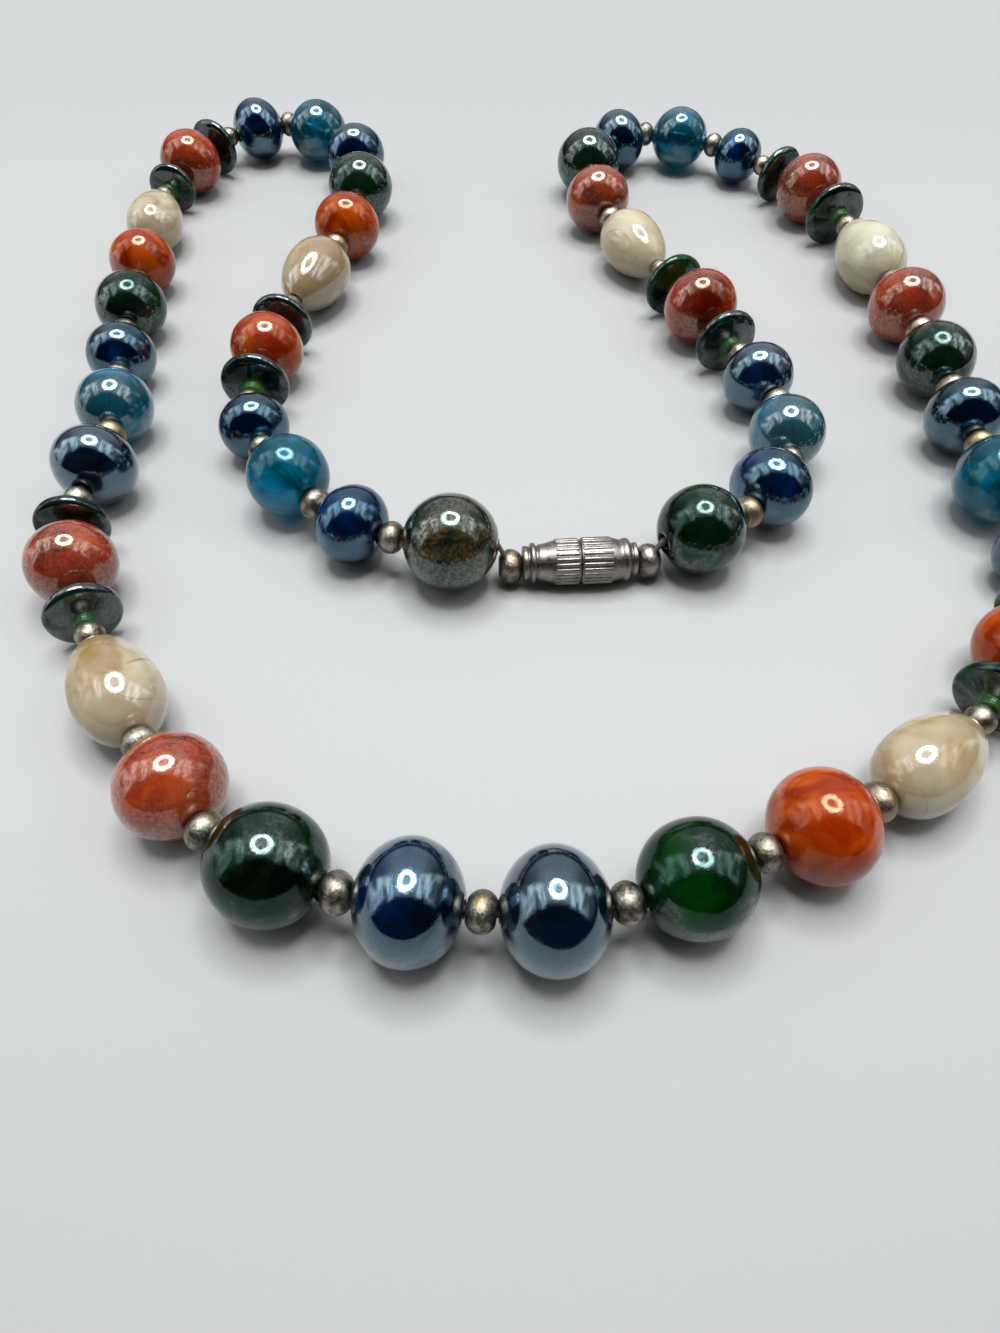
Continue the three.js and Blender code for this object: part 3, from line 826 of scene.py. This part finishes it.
claspRibs = ribTree()
clasp = items[0]
for side, half in claspHalves.items():
    scaled = dict(clasp)
    scaled["seed"] = Vector((0, 0, 0))
    stretch = clasp["length"] / 2 / drawnHalf
    outline = [(across, along * stretch) for across, along in rounded(half["outline"][1:-1], 1)]
    outline = [(0, outline[0][1])] + outline + [(0, outline[-1][1])]
    shell = turnedMesh("claspShell_" + side, outline, scaled, shellSides, False, backwards=side == "right")
    middle = (half["ribFrom"] + half["ribTo"]) / 2 * stretch
    holder = newObject("claspRibs_" + side, bpy.data.meshes.new("claspRibs_" + side))
    useTree(holder, claspRibs, {
        "Count": ribs["count"], "Radius": half["ribRadius"] * mm, "Half Width": ribs["halfWidth"] * mm,
        "Half Length": (half["ribTo"] - half["ribFrom"]) / 2 * stretch * mm, "Flatten": ribs["flatten"],
        "Metal": pewter})
    ribMesh = plainMesh(holder, "claspRibs_" + side)
    outwards = clasp["direction"] if side == "left" else -clasp["direction"]
    turn = Matrix((outwards.cross(up), up, outwards)).transposed().to_4x4()
    turn = turn @ Matrix.Rotation(math.radians(0 if side == "left" else 180 / ribs["count"]), 4, "Z")
    ribMesh.transform(Matrix.Translation((clasp["centre"] + outwards * middle) * mm) @ turn)
    joined = bmesh.new()
    joined.from_mesh(shell)
    joined.from_mesh(ribMesh)
    bmesh.ops.recalc_face_normals(joined, faces=joined.faces)
    joined.to_mesh(shell)
    joined.free()
    shell.materials.clear()
    shell.materials.append(pewter)
    shell.polygons.foreach_set("material_index", [0] * len(shell.polygons))
    piece = newObject("claspHalf_" + side, shell)
    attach(piece, "root")
    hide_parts("clasp_" + side)
print("clasp turned, with", ribs["count"], "ribs to a half")


# Table

# painted shade: the top is painted a little darker towards the front and the back, as far from the middle as
# told, in metres
table = {
    "size": 4.0, "below": 0.00001, "roughness": 0.55, "level": 0.2, "grainScale": 900.0, "grain": 0.12,
    "middle": (0.352, 0.354, 0.351, 1), "front": (0.285, 0.287, 0.284, 1), "back": (0.332, 0.335, 0.334, 1),
    "frontFrom": -0.045, "frontTo": -0.12, "backFrom": 0.03, "backTo": 0.12,
}

tableMesh = bpy.data.meshes.new("paleTable")
half = table["size"] / 2
corners = ((-half, -half), (half, -half), (half, half), (-half, half))
tableMesh.from_pydata([(x, y, -table["below"]) for x, y in corners], [], [(0, 1, 2, 3)])
tableMaterial = bpy.data.materials.new("paleTable")
tableMaterial.use_nodes = True
tableTree = tableMaterial.node_tree
tableShader = tableTree.nodes["Principled BSDF"]
tablePlace = addNode(tableTree, "ShaderNodeTexCoord").outputs["Object"]
depth = addNode(tableTree, "ShaderNodeSeparateXYZ", Vector=tablePlace).outputs["Y"]
grain = clouded(tableTree, tablePlace, table["grainScale"])
# painted shade: the front and back colours darken the top away from the middle, with the grain mixed in
shade = calc(tableTree, "ADD", ramp(tableTree, depth, table["frontTo"], table["frontFrom"]),
             calc(tableTree, "MULTIPLY", calc(tableTree, "SUBTRACT", grain, 0.5), table["grain"]))
paint = blendColours(tableTree, shade, table["front"], table["middle"])
backShadeMask = ramp(tableTree, depth, table["backFrom"], table["backTo"])
paint = blendColours(tableTree, backShadeMask, paint, table["back"])
setInput(tableTree, tableShader, "Base Color", paint)
tableShader.inputs["Roughness"].default_value = table["roughness"]
tableShader.inputs["Specular IOR Level"].default_value = table["level"]
tableMesh.materials.append(tableMaterial)
tableTop = newObject("paleTable", tableMesh)
tableTop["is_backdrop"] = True


# Light: a pale room behind and above, a ring lamp over the table, windows beside it, dark in front

room = {
    "front": 0.004, "ceiling": 1.2, "wall": 0.62, "side": 0.15, "frontFrom": -0.34, "frontTo": -0.06,
    "ringCentre": (0.0, 0.22), "ringInner": 0.20, "ringOuter": 0.34, "ringLight": 21.5, "ringMiddle": 0.9,
    # where the windows are: from, to and softness of their edges, left to right and front to back
    "leftWindow": ((-0.97, -0.46, 0.05), (-0.30, 0.36, 0.08)),
    "rightWindow": ((0.44, 0.90, 0.05), (-0.26, 0.40, 0.08)),
    "windowLight": 2.9, "foldsAcross": 7.5, "foldsAlong": 1.6, "backdrop": 0.72,
    "tint": (0.97, 0.985, 1.0, 1),
}

world = bpy.data.worlds.new("room")
scene.world = world
world.use_nodes = True
roomTree = world.node_tree
background = roomTree.nodes["Background"]
look = addNode(roomTree, "ShaderNodeSeparateXYZ",
               Vector=addNode(roomTree, "ShaderNodeTexCoord").outputs["Generated"]).outputs
wall = ramp(roomTree, look["Y"], 0.25, 0.95, room["ceiling"], room["wall"])
sides = ramp(roomTree, calc(roomTree, "ABSOLUTE", look["X"]), 0.30, 0.85, 1.0, room["side"])
lit = calc(roomTree, "MULTIPLY", calc(roomTree, "MULTIPLY", wall, sides),
           ramp(roomTree, look["Z"], 0.08, 0.20))
behind = ramp(roomTree, look["Y"], room["frontFrom"], room["frontTo"])
lit = calc(roomTree, "ADD", calc(roomTree, "MULTIPLY", lit, behind), room["front"])
height = calc(roomTree, "MAXIMUM", look["Z"], 0.02)
across = calc(roomTree, "DIVIDE", look["X"], height)
away = calc(roomTree, "DIVIDE", look["Y"], height)


def between(value, low, high, soft):
    rise = ramp(roomTree, value, low - soft, low + soft)
    return calc(roomTree, "MULTIPLY", rise, ramp(roomTree, value, high - soft, high + soft, 1.0, 0.0))


sideways = calc(roomTree, "SUBTRACT", across, room["ringCentre"][0])
along = calc(roomTree, "SUBTRACT", away, room["ringCentre"][1])
squares = [calc(roomTree, "MULTIPLY", part, part) for part in (sideways, along)]
apart = calc(roomTree, "SQRT", calc(roomTree, "ADD", *squares))
ring = between(apart, room["ringInner"], room["ringOuter"], 0.03)
middle = ramp(roomTree, apart, room["ringInner"] - 0.05, room["ringInner"], room["ringMiddle"], 0.0)
# windows to the left and the right, seen as tall streaks in every bead
curtain = addNode(roomTree, "ShaderNodeCombineXYZ",
                  X=calc(roomTree, "MULTIPLY", look["X"], room["foldsAcross"]),
                  Y=calc(roomTree, "MULTIPLY", look["Y"], room["foldsAlong"]))
folds = clouded(roomTree, curtain.outputs[0], 1.0, 1.0, distortion=0.15)
panes = ramp(roomTree, folds, 0.36, 0.64, 0.05, 1.0)
leftWindow, rightWindow = (
    calc(roomTree, "MULTIPLY", between(look["X"], *room[name][0]), between(look["Y"], *room[name][1]))
    for name in ("leftWindow", "rightWindow"))
windows = calc(roomTree, "MULTIPLY", calc(roomTree, "ADD", leftWindow, rightWindow), panes)
lit = calc(roomTree, "ADD", lit, middle)
lit = calc(roomTree, "ADD", lit, calc(roomTree, "MULTIPLY", windows, room["windowLight"]))
lit = calc(roomTree, "ADD", lit, calc(roomTree, "MULTIPLY", ring, room["ringLight"]))
lit = calc(roomTree, "MULTIPLY", lit, calc(roomTree, "GREATER_THAN", look["Z"], 0.0))
seen = addNode(roomTree, "ShaderNodeLightPath").outputs["Is Camera Ray"]
lit = calc(roomTree, "ADD", calc(roomTree, "MULTIPLY", lit, calc(roomTree, "SUBTRACT", 1.0, seen)),
           calc(roomTree, "MULTIPLY", seen, room["backdrop"]))
setInput(roomTree, background, "Strength", lit)
background.inputs["Color"].default_value = room["tint"]
print("room lit")


# Camera, at the photograph's angle

# focal length and long side in pixels of the photograph, turns in degrees, place in mm
view = {
    "focal": 981.9, "longSide": 1333, "tilt": 52.07, "roll": 1.27, "yaw": 0.13,
    "place": (-2.97, -113.23, 88.41), "sensor": 36, "nearest": 0.005,
}

tilt, roll, yaw = (math.radians(view[name]) for name in ("tilt", "roll", "yaw"))
forward = Vector((math.sin(yaw) * math.cos(tilt), math.cos(yaw) * math.cos(tilt), -math.sin(tilt)))
level = Vector((math.cos(yaw), -math.sin(yaw), 0))
above = level.cross(forward)
right = level * math.cos(roll) + above * math.sin(roll)
above = above * math.cos(roll) - level * math.sin(roll)
camera = bpy.data.cameras.new("camera")
camera.sensor_width = view["sensor"]
camera.lens = view["focal"] / view["longSide"] * camera.sensor_width
camera.clip_start = view["nearest"]
cameraObject = newObject("camera", camera)
facing = Matrix((right, above, -forward)).transposed().to_4x4()
cameraObject.matrix_world = Matrix.Translation(Vector(view["place"]) * mm) @ facing
scene.camera = cameraObject
scene.view_settings.view_transform = "Standard"
print("camera set")

low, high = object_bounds()
